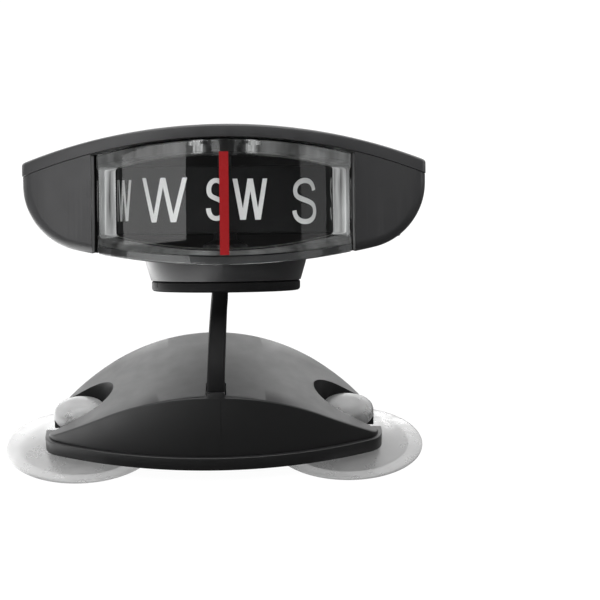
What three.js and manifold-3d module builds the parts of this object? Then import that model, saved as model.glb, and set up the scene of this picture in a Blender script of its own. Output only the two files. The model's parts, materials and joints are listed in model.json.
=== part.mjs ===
// Liquid-damped dash compass on a curved arm and a two-cup stand.
// Millimetres. +Z is up, -Y is the side the card is read from, +X is the reader's right.
// The origin is on the ground, under the middle of the whole object.

import * as THREE from 'three';
import { mergeVertices } from 'three/addons/utils/BufferGeometryUtils.js';
import Module from 'manifold-3d';

const wasm = await Module();
wasm.setup();

// ---------------------------------------------------------------- driving sizes

const STAND_SETBACK = 10.8;       // the stand's middle lies this far ahead of the origin
const FIT = 0.3;                   // gap between neighbouring pieces

// Suction cups
const CUP_X = 29.1;
const CUP_RADIUS = 16.6;
const CUP_NECK_RADIUS = 2.8;
const CUP_BUTTON_RADIUS = 5.8;
const CUP_BUTTON_TOP = 10.6;

// Base: a flat plate under an arched cover
const PLATE_BOTTOM = 3;
const PLATE_TOP = 6;
const PLATE_HALF_LENGTH = 36.4;
const PLATE_FRONT = 17;
const PLATE_BACK = 16.7;
const PLATE_FRONT_RADIUS = 79.6;
const PLATE_BACK_RADIUS = 100;
const PLATE_FRONT_CORNER = 4;
const PLATE_BACK_CORNER = 18;      // the back corners are cut well back, round the cups
const RIM_STEP = 0.8;              // the plate shows this much around the cover
const BASE_WALL = 1.8;
const ARCH_TOP = 20.1;
const ARCH_RADIUS = 46;
const ARCH_HALF_ANGLE = THREE.MathUtils.degToRad(30);
const NOTCH_HALF_WIDTH = 6.1;
const NOTCH_CENTRE_X = 27.8;
const NOTCH_WALL = 1.5;
const BASE_SCREW_X = 13;

// Arm
const ARM_X = 0.7;                  // middle of the foot
const ARM_LEAN = 1.1;               // sideways lean, most of it near the top
const ARM_WIDTH = 3.85;
const ARM_TAPER = 0.13;            // share of the width lost by the top
const ARM_FRONT = -15.1;
const ARM_BACK = -9.6;
const ARM_BOTTOM = 11.3;
const POCKET_FLOOR = 11;
const SOCKET_WALL = 1.7;
const LIP_HEIGHT = 0.9;

// Swivel disc and the head's place on it
const HEAD_PITCH = THREE.MathUtils.degToRad(22.5);
const HEAD_POSITION = new THREE.Vector3(3.05, 1, 36.95);
const DISC_RADIUS = 15.8;
const DISC_THICKNESS = 2.1;
const SWIVEL_BOSS_RADIUS = 5;
const SWIVEL_BOSS_TOP = 4.2;

// Head shell, in the head's own frame: origin at the disc's underside, +Z up the swivel axis
const HEAD_HALF_WIDTH = 41.8;
const HEAD_FRONT = 23.5;
const HEAD_BACK = 26.8;
const FRONT_RADIUS = 90;
const BACK_RADIUS = 130;
const FRONT_CORNER = 1.5;
const BACK_CORNER = 12;
const SHELL = 1.6;
const HULL_BOTTOM = 5.85;
const KEEL_RADIUS = 145;
const BILGE_RADIUS = 14;
const COVER_TOP = 34.5;
const COVER_RADIUS = 120.5;
const COVER_THICKNESS = 2.6;
const COLLAR_BOTTOM_RADIUS = 16;
const COLLAR_TOP_RADIUS = 17;
const COLLAR_BORE = 13;
const COLLAR_FLOOR = 1.6;
const PARTITION_WALL = 1.4;

// Capsule
const CAPSULE_HALF_WIDTH = 26.3;
const CAPSULE_BACK = 20.4;
const LENS_FRONT = 22.3;
const LENS_RADIUS = 46;
const LENS_WALL = 2.4;
const LENS_LIP = 4.4;              // the lens reaches the hull's bottom line over this depth
const CAPSULE_FLOOR = 7.9;
const CHAMBER_HALF_WIDTH = 21.8;
const CHAMBER_BOTTOM = 8.9;
const CHAMBER_TOP = 28.8;
const CHAMBER_ARC = 82;
const GASKET_THICKNESS = 0.6;
const BACK_PLATE_THICKNESS = 1.5;
const BACK_PLATE_HALF_WIDTH = 23.8;
const PORT_RADIUS = 6;
const PORT_SEAT_RADIUS = 8.6;
const PLUG_RADIUS = 5.6;
const PLUG_FLANGE_RADIUS = 6.3;

// Lubber line: the fixed red mark that the card is read against
const LUBBER_WIDTH = 1.9;
const LUBBER_BOTTOM = 7.9;
const LUBBER_TOP = 28.9;
const LUBBER_THICKNESS = 0.4;

// Card assembly
const CARD_Y = 0.6;
const CARD_RADIUS = 19.8;
const CARD_WALL = 0.8;
const CARD_BOTTOM = 12.4;
const CARD_TOP = 25.9;
const PIVOT_TIP = 19.4;
const MAGNET_SIZE = [22, 3, 3];
const MAGNET_OFFSET = 7;
const CARD_HEADING = THREE.MathUtils.degToRad(-37.5);   // north-south line of the card at rest

// Sections of the small turned pieces: [radius, height] points, in order round the section
const PLUG_PROFILE = [
  [0, 22.4], [1.2, 22.4], [1.2, 27.8], [PLUG_RADIUS, 27.8], [PLUG_RADIUS, 30.3],
  [PLUG_FLANGE_RADIUS, 30.3], [PLUG_FLANGE_RADIUS, 31.2], [0, 31.2],
];
const PIVOT_POST_PROFILE = [[0, 9.2], [4, 9.2], [4, 10.2], [2.2, 11.2], [1.6, 15.5], [0, 15.5]];
const PIVOT_PIN_PROFILE = [[0, 12.3], [0.45, 12.3], [0.45, 18], [0.08, PIVOT_TIP], [0, PIVOT_TIP]];
const JEWEL_PROFILE = [[0, 19.7], [0.7, 18.9], [1, 18.9], [1, 20.2], [0, 20.2]];
const CARD_PROFILE = [
  [0, 20.5], [1.3, 20.5], [1.3, 18.6], [2.6, 18.6], [2.6, 21], [CARD_RADIUS - CARD_WALL, 22.6],
  [CARD_RADIUS - CARD_WALL, CARD_BOTTOM], [CARD_RADIUS, CARD_BOTTOM], [CARD_RADIUS, CARD_TOP],
  [CARD_RADIUS - CARD_WALL, CARD_TOP], [CARD_RADIUS - CARD_WALL, 23.4], [2.6, 21.8], [0, 21.8],
];
const FLOAT_PROFILE = [[5, 16.6], [16.5, 16.6], [16.5, 22], [5, 20.8], [5, 16.6]];
const NYLON_WASHER_PROFILE = [[2, 4.5], [8, 4.5], [8, 5], [2, 5], [2, 4.5]];
const SPRING_WASHER_PROFILE = [[2, 5.5], [5, 5.25], [5, 5.55], [2, 5.8], [2, 5.5]];
const CUP_PROFILE = [
  [0, 1.1], [6, 1], [11, 0.6], [13.4, 0], [CUP_RADIUS, 0], [CUP_RADIUS, 0.6], [11.5, 1.5], [7, 2.3],
  [4.4, 2.8], [CUP_NECK_RADIUS, 2.8], [CUP_NECK_RADIUS, 6.3], [4.8, 6.3], [5.5, 6.9],
  [CUP_BUTTON_RADIUS, 8.1], [5.5, 9.5], [4.6, 10.3], [3.4, CUP_BUTTON_TOP], [0, CUP_BUTTON_TOP],
];

// Screws
const SWIVEL_SCREW = { headRadius: 3.2, headHeight: 1.3, shankRadius: 1.2, length: 6.6, headTop: 7.4 };
const ARM_SCREW = { headRadius: 1.7, headHeight: 1.2, shankRadius: 0.8, length: 8.6, low: 7.9 };
const BASE_SCREW = { headRadius: 2.6, headHeight: 1.3, shankRadius: 1.1, length: 9 };
const COVER_SCREW = { headRadius: 2.6, headHeight: 1.5, shankRadius: 1.1, length: 15.6 };
const SCREW_GAP = 0.2;              // a screw head sits this far off its seat
const MAGNET_HEIGHT = 14.7;
const COVER_POST_X = 34.1;
const COVER_POST_FRONT_Y = -9.5;
const COVER_POST_BACK_Y = 13;
const COVER_POST_TOP = 21.7;
const COVER_SEAT = 13;

const FAR = 60;                    // past every edge, for cutting tools
const FLAT = 500;                  // radius of an edge that only has to lie past another piece

// ---------------------------------------------------------------- materials

const finish = (color, roughness, metalness = 0) =>
  new THREE.MeshStandardMaterial({ color, roughness, metalness });

const CLEAR = new THREE.MeshStandardMaterial({
  color: 0xe9eef0, roughness: 0.05, metalness: 0, transparent: true, opacity: 0.35,
});
const HOUSING = finish(0x1b1b1d, 0.38);
const STAND = finish(0x17171a, 0.45);
const CARD_BLACK = finish(0x0c0c0d, 0.7);
const FLOAT_FOAM = finish(0x2a2a2c, 0.9);
const RUBBER = finish(0x141414, 0.85);
const SILICONE = finish(0xdededa, 0.4);
const CUP_VINYL = finish(0xdfe3e4, 0.3);
const RED = finish(0xb3202a, 0.5);
const STEEL = finish(0x8f9396, 0.35, 1);
const MAGNET = finish(0x4b4e52, 0.4, 1);
const JEWEL = finish(0x9c1636, 0.1);
const NYLON = finish(0xd9d7cf, 0.6);

// ---------------------------------------------------------------- solid helpers

/** A closed three.js geometry as a manifold solid. */
function solid(geometry) {
  const bare = geometry.clone();
  bare.deleteAttribute('normal');
  bare.deleteAttribute('uv');
  const merged = mergeVertices(bare, 1e-4);
  const corners = merged.index.array;
  const kept = [];
  for (let i = 0; i < corners.length; i += 3) {
    const [a, b, c] = corners.slice(i, i + 3);
    if (a !== b && b !== c && c !== a) kept.push(a, b, c);
  }
  const vertProperties = new Float32Array(merged.attributes.position.array);
  const triVerts = new Uint32Array(kept);
  return new wasm.Manifold(new wasm.Mesh({ numProp: 3, vertProperties, triVerts }));
}

/** A manifold solid as a three.js geometry. */
function geometryOf(body) {
  const { vertProperties, triVerts } = body.getMesh();
  const geometry = new THREE.BufferGeometry();
  geometry.setAttribute('position', new THREE.BufferAttribute(new Float32Array(vertProperties), 3));
  geometry.setIndex(new THREE.BufferAttribute(new Uint32Array(triVerts), 1));
  geometry.computeVertexNormals();
  return geometry;
}

const join = (first, ...others) => others.reduce((sum, other) => sum.add(other), first);
const cut = (first, ...others) => others.reduce((rest, other) => rest.subtract(other), first);

/** A block between two corners. */
function block(low, high) {
  const size = high.map((value, axis) => value - low[axis]);
  const geometry = new THREE.BoxGeometry(...size);
  geometry.translate(...low.map((value, axis) => value + size[axis] / 2));
  return solid(geometry);
}

/** An upright cylinder. */
function rod(x, y, low, high, radius, segments = 24) {
  const geometry = new THREE.CylinderGeometry(radius, radius, high - low, segments);
  geometry.rotateX(Math.PI / 2);
  geometry.translate(x, y, (low + high) / 2);
  return solid(geometry);
}

/** A profile of [radius, height] points turned about the Z axis. */
function turned(profile, segments = 36) {
  const geometry = new THREE.LatheGeometry(profile.map(([r, z]) => new THREE.Vector2(r, z)), segments);
  geometry.rotateX(Math.PI / 2);
  return geometry;
}

/** A shape drawn in plan (x, y), carried from one height to another. */
function raised(shape, low, high, curveSegments = 5) {
  const geometry = new THREE.ExtrudeGeometry(shape, { depth: high - low, bevelEnabled: false, curveSegments });
  geometry.translate(0, 0, low);
  return solid(geometry);
}

/** A shape drawn from the front (x, z), carried from front to back. */
function deepened(shape, front, back, curveSegments = 5) {
  const geometry = new THREE.ExtrudeGeometry(shape, { depth: back - front, bevelEnabled: false, curveSegments });
  geometry.rotateX(Math.PI / 2);
  geometry.translate(0, back, 0);
  return solid(geometry);
}

/** Centre height and opening angle of a corner round between a side and an end arc. */
function cornerOf(halfWidth, endRadius, corner, arcCentre, sign) {
  const reach = Math.sqrt((endRadius - corner) ** 2 - (halfWidth - corner) ** 2);
  return { height: arcCentre + sign * reach, angle: Math.atan2(halfWidth - corner, reach) };
}

/**
 * A barrel outline: straight sides at +-halfWidth, a low end that bulges down and a high end that
 * bulges up, each with its own radius and corner round. A corner of 0 is sharp.
 */
function barrel(halfWidth, low, lowRadius, lowCorner, high, highRadius, highCorner) {
  const quarter = Math.PI / 2;
  const lowCentre = low + lowRadius;
  const highCentre = high - highRadius;
  const lowRound = cornerOf(halfWidth, lowRadius, lowCorner, lowCentre, -1);
  const highRound = cornerOf(halfWidth, highRadius, highCorner, highCentre, 1);
  const lowX = halfWidth - lowCorner;
  const highX = halfWidth - highCorner;
  const shape = new THREE.Shape();
  const arc = (x, y, radius, from, to) => {
    if (radius > 0) shape.absarc(x, y, radius, from, to, false);
  };
  arc(0, lowCentre, lowRadius, -quarter - lowRound.angle, -quarter + lowRound.angle);
  arc(lowX, lowRound.height, lowCorner, -quarter + lowRound.angle, 0);
  arc(highX, highRound.height, highCorner, 0, quarter - highRound.angle);
  arc(0, highCentre, highRadius, quarter - highRound.angle, quarter + highRound.angle);
  arc(-highX, highRound.height, highCorner, quarter + highRound.angle, 2 * quarter);
  arc(-lowX, lowRound.height, lowCorner, 2 * quarter, 3 * quarter - lowRound.angle);
  return shape;
}

/** A machine screw with its head down at z = 0, its shank up, and a cross slot. */
function screw({ headRadius, headHeight, shankRadius, length }) {
  const slotHalf = headRadius * 0.6;
  const slotDepth = headHeight * 0.5;
  const body = solid(turned([
    [0, 0], [headRadius - 0.3, 0], [headRadius, 0.4], [headRadius, headHeight], [shankRadius, headHeight],
    [shankRadius, length - shankRadius], [shankRadius * 0.3, length], [0, length],
  ], 12));
  return cut(
    body,
    block([-slotHalf, -0.35, -1], [slotHalf, 0.35, slotDepth]),
    block([-0.35, -slotHalf, -1], [0.35, slotHalf, slotDepth]),
  );
}

function mesh(name, shape, material) {
  const geometry = shape.isBufferGeometry ? geometryOf(solid(shape)) : geometryOf(shape);
  const item = new THREE.Mesh(geometry, material);
  item.name = name;
  return item;
}

// ---------------------------------------------------------------- head shell

const headPlan = (inset) => barrel(
  HEAD_HALF_WIDTH - inset,
  -HEAD_FRONT + inset, FRONT_RADIUS - inset, Math.max(FRONT_CORNER - inset, 0),
  HEAD_BACK - inset, BACK_RADIUS - inset, BACK_CORNER - inset,
);

const coverUnderside = COVER_TOP - COVER_THICKNESS;
const coverUndersideRadius = COVER_RADIUS - COVER_THICKNESS;

const hullFace = (inset, top) => barrel(
  HEAD_HALF_WIDTH - inset,
  HULL_BOTTOM + inset, KEEL_RADIUS - inset, BILGE_RADIUS - inset,
  top, coverUndersideRadius, 0,
);

const coverPosts = [
  ['front_left', -COVER_POST_X, COVER_POST_FRONT_Y],
  ['front_right', COVER_POST_X, COVER_POST_FRONT_Y],
  ['back_left', -COVER_POST_X, COVER_POST_BACK_Y],
  ['back_right', COVER_POST_X, COVER_POST_BACK_Y],
];

function topCover() {
  const centre = COVER_TOP - COVER_RADIUS;
  const arc = Math.asin((HEAD_HALF_WIDTH + 2) / COVER_RADIUS);
  const band = new THREE.Shape();
  band.absarc(0, centre, COVER_RADIUS, Math.PI / 2 - arc, Math.PI / 2 + arc, false);
  band.absarc(0, centre, coverUndersideRadius, Math.PI / 2 + arc, Math.PI / 2 - arc, true);
  const slab = deepened(band, -FAR, FAR, 8).intersect(raised(headPlan(0), 0, FAR));
  const bosses = coverPosts.map(([, x, y]) => rod(x, y, COVER_POST_TOP + FIT, 28, 3.4, 16));
  const pilots = coverPosts.map(([, x, y]) => rod(x, y, 0, 27.4, 1.4, 10));
  return cut(join(slab, ...bosses), ...pilots);
}

function lowerHousing() {
  const rimTop = coverUnderside - FIT;
  const outer = deepened(hullFace(0, rimTop), -FAR, FAR, 6).intersect(raised(headPlan(0), 0, FAR));
  const inner = deepened(hullFace(SHELL, rimTop + 8), -FAR, FAR).intersect(raised(headPlan(SHELL), 0, FAR));
  const pocket = CAPSULE_HALF_WIDTH + FIT;
  const wallOuter = pocket + PARTITION_WALL;
  const partitions = join(
    block([pocket, -FAR, 0], [wallOuter, FAR, FAR]),
    block([-wallOuter, -FAR, 0], [-pocket, FAR, FAR]),
  ).intersect(outer);
  const posts = coverPosts.map(([, x, y]) => rod(x, y, HULL_BOTTOM, COVER_POST_TOP, 4, 16).intersect(outer));
  const window = block([-pocket, -FAR, 0], [pocket, FAR, FAR])
    .subtract(raised(lensPlan(-LENS_FRONT + LENS_LIP + FIT, pocket + 1), -1, FAR + 1));
  const bed = deepened(
    barrel(pocket, CAPSULE_FLOOR - FIT, KEEL_RADIUS - 1.5, 0, FAR, FLAT, 0), -FAR, plateBack,
  );
  const collarLow = DISC_THICKNESS + FIT;
  const collarFloor = collarLow + COLLAR_FLOOR;
  const slope = (COLLAR_TOP_RADIUS - COLLAR_BOTTOM_RADIUS) / (HULL_BOTTOM - collarLow);
  const collarHigh = HULL_BOTTOM + 1.2;
  const collar = solid(turned([
    [0, collarLow], [COLLAR_BOTTOM_RADIUS, collarLow],
    [COLLAR_BOTTOM_RADIUS + slope * (collarHigh - collarLow), collarHigh], [0, collarHigh],
  ], 48));
  const clearAbove = block([-FAR, -FAR, HULL_BOTTOM + 0.6], [FAR, FAR, FAR]).subtract(outer);
  const bore = rod(0, 0, collarFloor, 12, COLLAR_BORE, 36);
  const hub = rod(0, 0, -1, 12, SWIVEL_BOSS_RADIUS + FIT, 24);
  const seats = coverPosts.map(([, x, y]) => rod(x, y, 0, COVER_SEAT, 2.9, 14));
  const holes = coverPosts.map(([, x, y]) => rod(x, y, 0, FAR, 1.5, 10));
  const shell = cut(join(outer.subtract(inner), partitions, ...posts), window, bed);
  return cut(join(shell, cut(collar, clearAbove)), bore, hub, ...seats, ...holes);
}

// ---------------------------------------------------------------- capsule

const capsuleTop = coverUnderside - FIT;

/** The region behind an arc parallel to the lens front, which crosses the middle at y = front. */
const lensPlan = (front, halfWidth) => barrel(
  halfWidth, front, LENS_RADIUS - LENS_FRONT - front, 0, FAR, FLAT, 0,
);

/** The capsule seen from the front, down to a given floor. */
const capsuleFace = (halfWidth, floor) => barrel(
  halfWidth, floor, KEEL_RADIUS + HULL_BOTTOM - floor, 0, capsuleTop, coverUndersideRadius, 0,
);

function capsuleBody() {
  const lip = deepened(capsuleFace(CAPSULE_HALF_WIDTH, HULL_BOTTOM), -FAR, CAPSULE_BACK)
    .subtract(raised(lensPlan(-LENS_FRONT + LENS_LIP, CAPSULE_HALF_WIDTH + 1), 0, FAR, 8));
  const tank = deepened(capsuleFace(CAPSULE_HALF_WIDTH, CAPSULE_FLOOR), -FAR, CAPSULE_BACK);
  const plan = raised(lensPlan(-LENS_FRONT, CAPSULE_HALF_WIDTH), 0, FAR, 10);
  const chamber = deepened(
    barrel(CHAMBER_HALF_WIDTH, CHAMBER_BOTTOM, CHAMBER_ARC, 1, CHAMBER_TOP, CHAMBER_ARC, 1), -FAR, FAR,
  );
  const chamberPlan = raised(lensPlan(-LENS_FRONT + LENS_WALL, CHAMBER_HALF_WIDTH + 1), 0, FAR, 10);
  const plugHole = rod(0, CARD_Y, 25, FAR, PLUG_RADIUS + FIT);
  const flangeSeat = rod(0, CARD_Y, 30, FAR, PLUG_FLANGE_RADIUS + FIT);
  return cut(join(lip, tank).intersect(plan), chamber.intersect(chamberPlan), plugHole, flangeSeat);
}

const gasketFront = CAPSULE_BACK + 0.2;
const plateFront = gasketFront + GASKET_THICKNESS + 0.2;
const plateBack = plateFront + BACK_PLATE_THICKNESS;
const portZ = (CHAMBER_BOTTOM + CHAMBER_TOP) / 2;

function capsuleGasket() {
  const opening = barrel(
    CHAMBER_HALF_WIDTH, CHAMBER_BOTTOM + 0.4, CHAMBER_ARC, 1, CHAMBER_TOP - 0.4, CHAMBER_ARC, 1,
  );
  const back = gasketFront + GASKET_THICKNESS;
  return deepened(capsuleFace(BACK_PLATE_HALF_WIDTH, CAPSULE_FLOOR), gasketFront, back)
    .subtract(deepened(opening, -FAR, FAR));
}

/** An upright disc or ring lying in the head's X-Z plane, centred on the diaphragm port. */
function portRing(profile, segments = 24) {
  const geometry = turned(profile, segments);
  geometry.rotateX(-Math.PI / 2);
  geometry.translate(0, 0, portZ);
  return solid(geometry);
}

function capsuleBackPlate() {
  const port = portRing([[0, 0], [PORT_RADIUS, 0], [PORT_RADIUS, FAR], [0, FAR]]);
  const seat = plateFront + 0.4;
  const recess = portRing([[0, seat], [PORT_SEAT_RADIUS, seat], [PORT_SEAT_RADIUS, FAR], [0, FAR]]);
  const blank = deepened(capsuleFace(BACK_PLATE_HALF_WIDTH, CAPSULE_FLOOR), plateFront, plateBack);
  return cut(blank, port, recess);
}

function expansionDiaphragm() {
  const seat = plateFront + 0.6;
  return portRing([
    [0, seat - 0.5], [2.6, seat - 0.5], [3.8, seat], [8.3, seat],
    [8.3, seat + 0.3], [3.7, seat + 0.3], [2.5, seat - 0.2], [0, seat - 0.2],
  ]);
}

function diaphragmRing() {
  const seat = plateFront + 1.1;
  return portRing([[6.4, seat], [8.3, seat], [8.3, seat + 0.4], [6.4, seat + 0.4], [6.4, seat]]);
}

function fillPlug() {
  const geometry = turned(PLUG_PROFILE, 24);
  geometry.translate(0, CARD_Y, 0);
  return geometry;
}

function lubberLine() {
  const front = -LENS_FRONT - FIT - LUBBER_THICKNESS;
  return block(
    [-LUBBER_WIDTH / 2, front, LUBBER_BOTTOM],
    [LUBBER_WIDTH / 2, front + LUBBER_THICKNESS, LUBBER_TOP],
  );
}

// ---------------------------------------------------------------- card and its pivot

const pivotPost = () => cut(
  solid(turned(PIVOT_POST_PROFILE, 16)),
  rod(0, 0, 12, FAR, 0.75, 12),
);

const pivotPin = () => turned(PIVOT_PIN_PROFILE, 12);

const jewelBearing = () => turned(JEWEL_PROFILE, 12);

const compassCard = () => turned(CARD_PROFILE, 48);

const cardFloat = () => turned(FLOAT_PROFILE, 24);

/** One bar magnet, laid along the card's north-south line. */
function cardMagnet(side) {
  const geometry = new THREE.BoxGeometry(...MAGNET_SIZE);
  geometry.translate(0, side * MAGNET_OFFSET, MAGNET_HEIGHT);
  geometry.rotateZ(CARD_HEADING);
  return geometry;
}

// ---------------------------------------------------------------- swivel hardware

const nylonWasher = () => turned(NYLON_WASHER_PROFILE, 20);

const springWasher = () => turned(SPRING_WASHER_PROFILE, 20);

function swivelScrew() {
  const body = geometryOf(screw(SWIVEL_SCREW));
  body.rotateX(Math.PI);
  body.translate(0, 0, SWIVEL_SCREW.headTop);
  return body;
}

// ---------------------------------------------------------------- stand

const basePlan = (inset) => barrel(
  PLATE_HALF_LENGTH - inset,
  -PLATE_FRONT + inset, PLATE_FRONT_RADIUS - inset, PLATE_FRONT_CORNER - inset,
  PLATE_BACK - inset, PLATE_BACK_RADIUS - inset, PLATE_BACK_CORNER - inset,
);

/** The arch seen from the front: a crown arc that runs into two straight flanks. */
function archFace(inset, low) {
  const radius = ARCH_RADIUS - inset;
  const centre = ARCH_TOP - ARCH_RADIUS;
  const flankX = radius * Math.sin(ARCH_HALF_ANGLE);
  const flankZ = centre + radius * Math.cos(ARCH_HALF_ANGLE);
  const footX = flankX + (flankZ - low) / Math.tan(ARCH_HALF_ANGLE);
  const shape = new THREE.Shape();
  shape.moveTo(-footX, low);
  shape.lineTo(footX, low);
  const quarter = Math.PI / 2;
  shape.absarc(0, centre, radius, quarter - ARCH_HALF_ANGLE, quarter + ARCH_HALF_ANGLE, false);
  return shape;
}

/** A U-shaped tool open at its outer end, for a cup's slot on one side. */
function endSlot(side, centreX, halfWidth, low, high) {
  const inner = side * centreX;
  const outer = side * FAR;
  return join(
    rod(inner, 0, low, high, halfWidth),
    block([Math.min(inner, outer), -halfWidth, low], [Math.max(inner, outer), halfWidth, high]),
  );
}

function basePlate() {
  const slots = [-1, 1].map((side) => endSlot(side, CUP_X - 0.1, CUP_NECK_RADIUS + 0.4, 0, FAR));
  const holes = [-1, 1].map((side) => rod(side * BASE_SCREW_X, 0, 0, FAR, 1.5, 16));
  const seats = [-1, 1].map((side) => rod(side * BASE_SCREW_X, 0, 0, PLATE_BOTTOM + 1.7, 2.9, 20));
  return cut(raised(basePlan(0), PLATE_BOTTOM, PLATE_TOP, 6), ...slots, ...holes, ...seats);
}

function baseCover() {
  const low = PLATE_TOP + 0.1;
  const outer = raised(basePlan(RIM_STEP), low, FAR, 6).intersect(deepened(archFace(0, low), -FAR, FAR, 8));
  const inner = raised(basePlan(RIM_STEP + BASE_WALL), 0, FAR)
    .intersect(deepened(archFace(BASE_WALL, 0), -FAR, FAR));
  const notchWalls = [-1, 1].map((side) =>
    endSlot(side, NOTCH_CENTRE_X, NOTCH_HALF_WIDTH + NOTCH_WALL, low, FAR));
  const bosses = [-1, 1].map((side) => rod(side * BASE_SCREW_X, 0, low, FAR, 3, 16));
  const pocketHalf = ARM_WIDTH / 2 + 0.2;
  const socket = block(
    [ARM_X - pocketHalf - SOCKET_WALL, -FAR, POCKET_FLOOR - 1.6],
    [ARM_X + pocketHalf + SOCKET_WALL, ARM_BACK + 0.2 + SOCKET_WALL, FAR],
  );
  const lip = block(
    [ARM_X - ARM_WIDTH / 2, -PLATE_FRONT + RIM_STEP, ARCH_TOP - 2],
    [ARM_X + ARM_WIDTH / 2, ARM_FRONT - 0.2, ARCH_TOP + LIP_HEIGHT],
  );
  const hollow = cut(inner, ...notchWalls, ...bosses, socket);
  const pocket = block(
    [ARM_X - pocketHalf, ARM_FRONT - 0.2, POCKET_FLOOR],
    [ARM_X + pocketHalf, ARM_BACK + 0.2, FAR],
  );
  const notches = [-1, 1].map((side) => endSlot(side, NOTCH_CENTRE_X, NOTCH_HALF_WIDTH, 0, FAR));
  const pilots = [-1, 1].map((side) => rod(side * BASE_SCREW_X, 0, 0, 13, 1.4, 16));
  const armHole = rod(ARM_X, (ARM_FRONT + ARM_BACK) / 2, 0, POCKET_FLOOR + 1, 1.3, 16);
  return cut(join(cut(outer, hollow), lip), pocket, armHole, ...notches, ...pilots);
}

/** Turns a point of the head's Y-Z plane into the stand's. */
function onHead(y, z) {
  const point = new THREE.Vector3(0, y, z).applyAxisAngle(new THREE.Vector3(1, 0, 0), -HEAD_PITCH);
  return new THREE.Vector2(point.y + HEAD_POSITION.y, point.z + HEAD_POSITION.z);
}

function supportArm() {
  const rootZ = ARCH_TOP - 0.5;
  const frontTop = onHead(-4.6, 0.8);
  const backTop = onHead(3.4, 0.8);
  const frontPull = onHead(-2.4, -6.5);
  const backPull = onHead(1.8, -7.5);
  const side = new THREE.Shape();
  side.moveTo(ARM_FRONT, ARM_BOTTOM);
  side.lineTo(ARM_BACK, ARM_BOTTOM);
  side.lineTo(ARM_BACK, rootZ);
  side.bezierCurveTo(ARM_BACK, rootZ + 6, backPull.x, backPull.y, backTop.x, backTop.y);
  side.lineTo(frontTop.x, frontTop.y);
  side.bezierCurveTo(frontPull.x, frontPull.y, ARM_FRONT, rootZ + 9, ARM_FRONT, rootZ);
  const blade = new THREE.ExtrudeGeometry(side, { depth: ARM_WIDTH, bevelEnabled: false, curveSegments: 12 });
  blade.translate(0, 0, -ARM_WIDTH / 2);
  const upright = new THREE.Matrix4().makeBasis(
    new THREE.Vector3(0, 1, 0), new THREE.Vector3(0, 0, 1), new THREE.Vector3(1, 0, 0),
  );
  blade.applyMatrix4(upright);
  const place = blade.attributes.position;
  for (let i = 0; i < place.count; i += 1) {
    const rise = THREE.MathUtils.clamp((place.getZ(i) - rootZ) / (HEAD_POSITION.z - rootZ), 0, 1);
    place.setX(i, ARM_X + ARM_LEAN * rise ** 2 + place.getX(i) * (1 - ARM_TAPER * rise));
  }

  const disc = turned([
    [0, 0], [DISC_RADIUS - 0.7, 0], [DISC_RADIUS - 0.2, 0.2], [DISC_RADIUS, 0.7],
    [DISC_RADIUS, DISC_THICKNESS - 0.2], [DISC_RADIUS - 0.2, DISC_THICKNESS],
    [SWIVEL_BOSS_RADIUS, DISC_THICKNESS], [SWIVEL_BOSS_RADIUS, SWIVEL_BOSS_TOP], [0, SWIVEL_BOSS_TOP],
  ], 48);
  const drilled = cut(solid(disc), rod(0, 0, 0.5, FAR, 1.5, 16));
  const headFrame = geometryOf(drilled);
  headFrame.rotateX(-HEAD_PITCH);
  headFrame.translate(HEAD_POSITION.x, HEAD_POSITION.y, HEAD_POSITION.z);

  const screwHole = rod(ARM_X, (ARM_FRONT + ARM_BACK) / 2, 0, 18, 1.1, 16);
  return join(solid(blade), solid(headFrame)).subtract(screwHole);
}

const suctionCup = () => turned(CUP_PROFILE, 36);

// ---------------------------------------------------------------- assembly

const compass = new THREE.Group();
const stand = new THREE.Group();
stand.position.set(0, -STAND_SETBACK, 0);
compass.add(stand);

const head = new THREE.Group();
head.position.copy(HEAD_POSITION);
head.rotation.x = -HEAD_PITCH;
stand.add(head);

const card = new THREE.Group();
card.position.set(0, CARD_Y, 0);
head.add(card);

stand.add(mesh('base_plate', basePlate(), STAND));
stand.add(mesh('base_cover', baseCover(), STAND));
stand.add(mesh('support_arm', supportArm(), STAND));

const armScrew = mesh('arm_screw', screw(ARM_SCREW), STEEL);
armScrew.position.set(ARM_X, (ARM_FRONT + ARM_BACK) / 2, ARM_SCREW.low);
stand.add(armScrew);

for (const [name, side] of [['left', -1], ['right', 1]]) {
  const baseScrew = mesh(`base_screw_${name}`, screw(BASE_SCREW), STEEL);
  baseScrew.position.set(side * BASE_SCREW_X, 0, PLATE_BOTTOM + SCREW_GAP);
  stand.add(baseScrew);

  const cup = mesh(`${name}_suction_cup`, suctionCup(), CUP_VINYL);
  cup.position.set(side * CUP_X, 0, 0);
  stand.add(cup);
}

head.add(mesh('top_cover', topCover(), HOUSING));
head.add(mesh('lower_housing', lowerHousing(), HOUSING));
for (const [name, x, y] of coverPosts) {
  const item = mesh(`cover_screw_${name}`, screw(COVER_SCREW), STEEL);
  item.position.set(x, y, COVER_SEAT - SCREW_GAP - COVER_SCREW.headHeight);
  head.add(item);
}
head.add(mesh('capsule_body', capsuleBody(), CLEAR));
head.add(mesh('capsule_gasket', capsuleGasket(), SILICONE));
head.add(mesh('capsule_back_plate', capsuleBackPlate(), HOUSING));
head.add(mesh('expansion_diaphragm', expansionDiaphragm(), RUBBER));
head.add(mesh('diaphragm_ring', diaphragmRing(), HOUSING));
head.add(mesh('fill_plug', fillPlug(), HOUSING));
head.add(mesh('lubber_line', lubberLine(), RED));
head.add(mesh('nylon_washer', nylonWasher(), NYLON));
head.add(mesh('spring_washer', springWasher(), STEEL));
head.add(mesh('swivel_screw', swivelScrew(), STEEL));

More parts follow.
